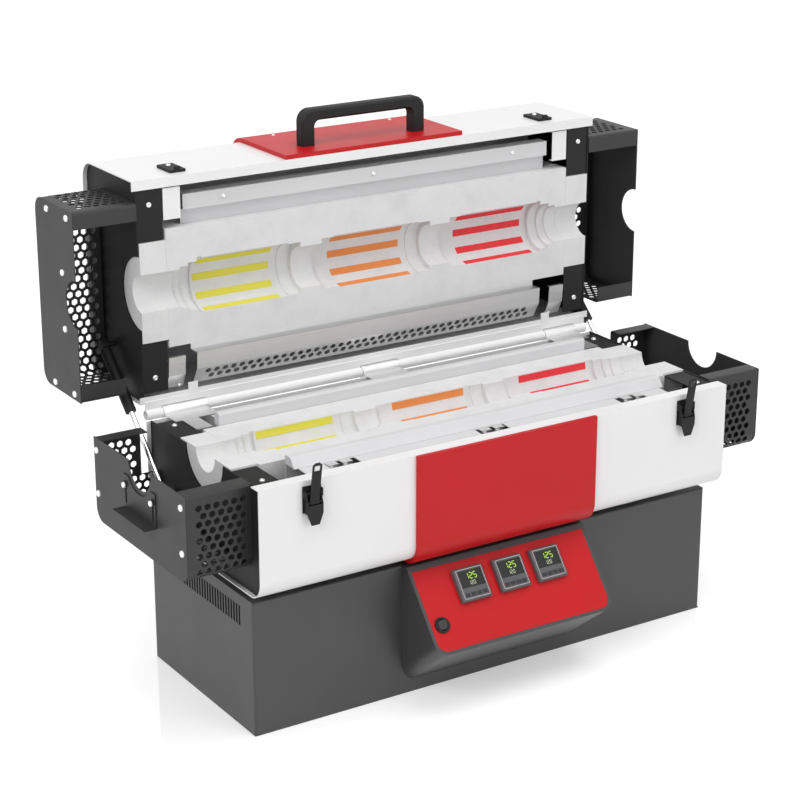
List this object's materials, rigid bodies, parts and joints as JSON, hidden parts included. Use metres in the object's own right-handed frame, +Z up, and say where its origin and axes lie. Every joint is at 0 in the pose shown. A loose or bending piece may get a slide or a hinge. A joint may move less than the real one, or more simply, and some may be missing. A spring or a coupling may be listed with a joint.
{
  "type": "split tube furnace",
  "caption": "Horizontal split tube furnace standing open: white hinged body with a ceramic chamber, perforated end guards and a red-panelled control base.",
  "frame": {"origin": "middle of the base cabinet's flat underside", "axes": "+X to the right along the heated tube, +Y towards the back and the hinge, +Z up"},
  "size_m": [1.0064, 0.563, 0.7676],
  "materials": {
    "black_paint": "matt powder coat",
    "black_plastic": "moulded, lightly textured",
    "element": "matt oxide",
    "graphite_paint": "fine satin powder coat",
    "grey_plastic": "moulded",
    "insulation": "matt fired fibre board",
    "pale_steel": "fine matt sheet",
    "red_paint": "satin powder coat",
    "rod_steel": "polished",
    "steel": "brushed",
    "white_paint": "satin powder coat",
    "window": "clear, dark behind"
  },
  "bodies": {
    "furnace_base": {"base_back_panel": "graphite_paint", "base_cabinet": "graphite_paint", "base_floor": "graphite_paint", "body_rails": "graphite_paint", "console_housing": "graphite_paint", "console_panel": "red_paint", "controller_left": "grey_plastic", "controller_middle": "grey_plastic", "controller_right": "grey_plastic", "controller_windows": "window", "hinge_knuckles": "pale_steel", "latch_bases": "black_paint", "lower_band": "red_paint", "lower_casing": "white_paint", "lower_elements": "element", "lower_end_blocks": "insulation", "lower_end_plates": "black_paint", "lower_guard_plates": "graphite_paint", "lower_guards": "graphite_paint", "lower_insulation": "insulation", "lower_liners": "pale_steel", "mains_inlet": "black_plastic", "switch_bezel": "black_plastic", "thermocouples": "insulation"},
    "furnace_lid": {"lid_band": "red_paint", "lid_casing": "white_paint", "lid_elements": "element", "lid_end_blocks": "insulation", "lid_end_plates": "black_paint", "lid_guard_plates": "graphite_paint", "lid_guards": "graphite_paint", "lid_handle": "black_plastic", "lid_insulation": "insulation", "lid_liners": "pale_steel", "hinge_tube": "white_paint", "latch_keepers": "steel"},
    "latch_lever_left": {"latch_lever_left": "black_paint"},
    "latch_strap_left": {"latch_strap_left": "black_paint"},
    "strut_barrel_left": {"strut_barrel_left": "black_plastic"},
    "strut_rod_left": {"strut_rod_left": "rod_steel"},
    "tube_support_left": {"tube_support_left": "graphite_paint"},
    "latch_lever_right": {"latch_lever_right": "black_paint"},
    "latch_strap_right": {"latch_strap_right": "black_paint"},
    "strut_barrel_right": {"strut_barrel_right": "black_plastic"},
    "strut_rod_right": {"strut_rod_right": "rod_steel"},
    "tube_support_right": {"tube_support_right": "graphite_paint"},
    "button_left_1": {"button_left_1": "grey_plastic"},
    "button_left_2": {"button_left_2": "grey_plastic"},
    "button_left_3": {"button_left_3": "grey_plastic"},
    "button_left_4": {"button_left_4": "grey_plastic"},
    "button_middle_1": {"button_middle_1": "grey_plastic"},
    "button_middle_2": {"button_middle_2": "grey_plastic"},
    "button_middle_3": {"button_middle_3": "grey_plastic"},
    "button_middle_4": {"button_middle_4": "grey_plastic"},
    "button_right_1": {"button_right_1": "grey_plastic"},
    "button_right_2": {"button_right_2": "grey_plastic"},
    "button_right_3": {"button_right_3": "grey_plastic"},
    "button_right_4": {"button_right_4": "grey_plastic"},
    "switch_rocker": {"switch_rocker": "black_plastic"}
  },
  "joints": [
    {"name": "lid_hinge", "type": "hinge", "parent": "furnace_base", "child": "furnace_lid", "pos_m": [0, 0.1575, 0.37], "axis": [1, 0, 0], "range_deg": [0, 90]},
    {"name": "strut_pivot_left", "type": "hinge", "parent": "furnace_lid", "child": "strut_barrel_left", "pos_m": [-0.403, 0.25, 0.452], "axis": [1, 0, 0], "range_deg": [-44.63, 0]},
    {"name": "strut_stroke_left", "type": "slide", "parent": "strut_barrel_left", "child": "strut_rod_left", "axis": [0, -0.7331, -0.6801], "range_m": [-0.06796, 0]},
    {"name": "latch_lever_left", "type": "hinge", "parent": "furnace_base", "child": "latch_lever_left", "pos_m": [-0.314, -0.185, 0.352], "axis": [-1, 0, 0], "range_deg": [0, 100]},
    {"name": "latch_strap_left", "type": "hinge", "parent": "latch_lever_left", "child": "latch_strap_left", "pos_m": [-0.314, -0.1881, 0.34], "axis": [1, 0, 0], "range_deg": [0, 100]},
    {"name": "tube_support_left", "type": "slide", "parent": "furnace_base", "child": "tube_support_left", "axis": [0, 0, 1], "range_m": [0, 0.025]},
    {"name": "strut_pivot_right", "type": "hinge", "parent": "furnace_lid", "child": "strut_barrel_right", "pos_m": [0.403, 0.25, 0.452], "axis": [1, 0, 0], "range_deg": [-44.63, 0]},
    {"name": "strut_stroke_right", "type": "slide", "parent": "strut_barrel_right", "child": "strut_rod_right", "axis": [0, -0.7331, -0.6801], "range_m": [-0.06796, 0]},
    {"name": "latch_lever_right", "type": "hinge", "parent": "furnace_base", "child": "latch_lever_right", "pos_m": [0.314, -0.185, 0.352], "axis": [-1, 0, 0], "range_deg": [0, 100]},
    {"name": "latch_strap_right", "type": "hinge", "parent": "latch_lever_right", "child": "latch_strap_right", "pos_m": [0.314, -0.1881, 0.34], "axis": [1, 0, 0], "range_deg": [0, 100]},
    {"name": "tube_support_right", "type": "slide", "parent": "furnace_base", "child": "tube_support_right", "axis": [0, 0, 1], "range_m": [0, 0.025]},
    {"name": "button_left_1_push", "type": "slide", "parent": "furnace_base", "child": "button_left_1", "axis": [0, 0.7815, -0.6239], "range_m": [0, 0.0005], "stiffness_N_per_m": 900},
    {"name": "button_left_2_push", "type": "slide", "parent": "furnace_base", "child": "button_left_2", "axis": [0, 0.7815, -0.6239], "range_m": [0, 0.0005], "stiffness_N_per_m": 900},
    {"name": "button_left_3_push", "type": "slide", "parent": "furnace_base", "child": "button_left_3", "axis": [0, 0.7815, -0.6239], "range_m": [0, 0.0005], "stiffness_N_per_m": 900},
    {"name": "button_left_4_push", "type": "slide", "parent": "furnace_base", "child": "button_left_4", "axis": [0, 0.7815, -0.6239], "range_m": [0, 0.0005], "stiffness_N_per_m": 900},
    {"name": "button_middle_1_push", "type": "slide", "parent": "furnace_base", "child": "button_middle_1", "axis": [0, 0.7815, -0.6239], "range_m": [0, 0.0005], "stiffness_N_per_m": 900},
    {"name": "button_middle_2_push", "type": "slide", "parent": "furnace_base", "child": "button_middle_2", "axis": [0, 0.7815, -0.6239], "range_m": [0, 0.0005], "stiffness_N_per_m": 900},
    {"name": "button_middle_3_push", "type": "slide", "parent": "furnace_base", "child": "button_middle_3", "axis": [0, 0.7815, -0.6239], "range_m": [0, 0.0005], "stiffness_N_per_m": 900},
    {"name": "button_middle_4_push", "type": "slide", "parent": "furnace_base", "child": "button_middle_4", "axis": [0, 0.7815, -0.6239], "range_m": [0, 0.0005], "stiffness_N_per_m": 900},
    {"name": "button_right_1_push", "type": "slide", "parent": "furnace_base", "child": "button_right_1", "axis": [0, 0.7815, -0.6239], "range_m": [0, 0.0005], "stiffness_N_per_m": 900},
    {"name": "button_right_2_push", "type": "slide", "parent": "furnace_base", "child": "button_right_2", "axis": [0, 0.7815, -0.6239], "range_m": [0, 0.0005], "stiffness_N_per_m": 900},
    {"name": "button_right_3_push", "type": "slide", "parent": "furnace_base", "child": "button_right_3", "axis": [0, 0.7815, -0.6239], "range_m": [0, 0.0005], "stiffness_N_per_m": 900},
    {"name": "button_right_4_push", "type": "slide", "parent": "furnace_base", "child": "button_right_4", "axis": [0, 0.7815, -0.6239], "range_m": [0, 0.0005], "stiffness_N_per_m": 900},
    {"name": "switch_rock", "type": "hinge", "parent": "furnace_base", "child": "switch_rocker", "pos_m": [-0.1287, -0.21353, 0.12645], "axis": [-1, 0, 0], "range_deg": [0, 14]}
  ],
  "couplings": [
    {"joint": "strut_pivot_left", "follows": "lid_hinge", "ratio": -0.49588},
    {"joint": "strut_stroke_left", "follows": "lid_hinge", "m_per_rad": -0.04326},
    {"joint": "latch_strap_left", "follows": "latch_lever_left", "ratio": 1},
    {"joint": "strut_pivot_right", "follows": "lid_hinge", "ratio": -0.49588},
    {"joint": "strut_stroke_right", "follows": "lid_hinge", "m_per_rad": -0.04326},
    {"joint": "latch_strap_right", "follows": "latch_lever_right", "ratio": 1}
  ]
}
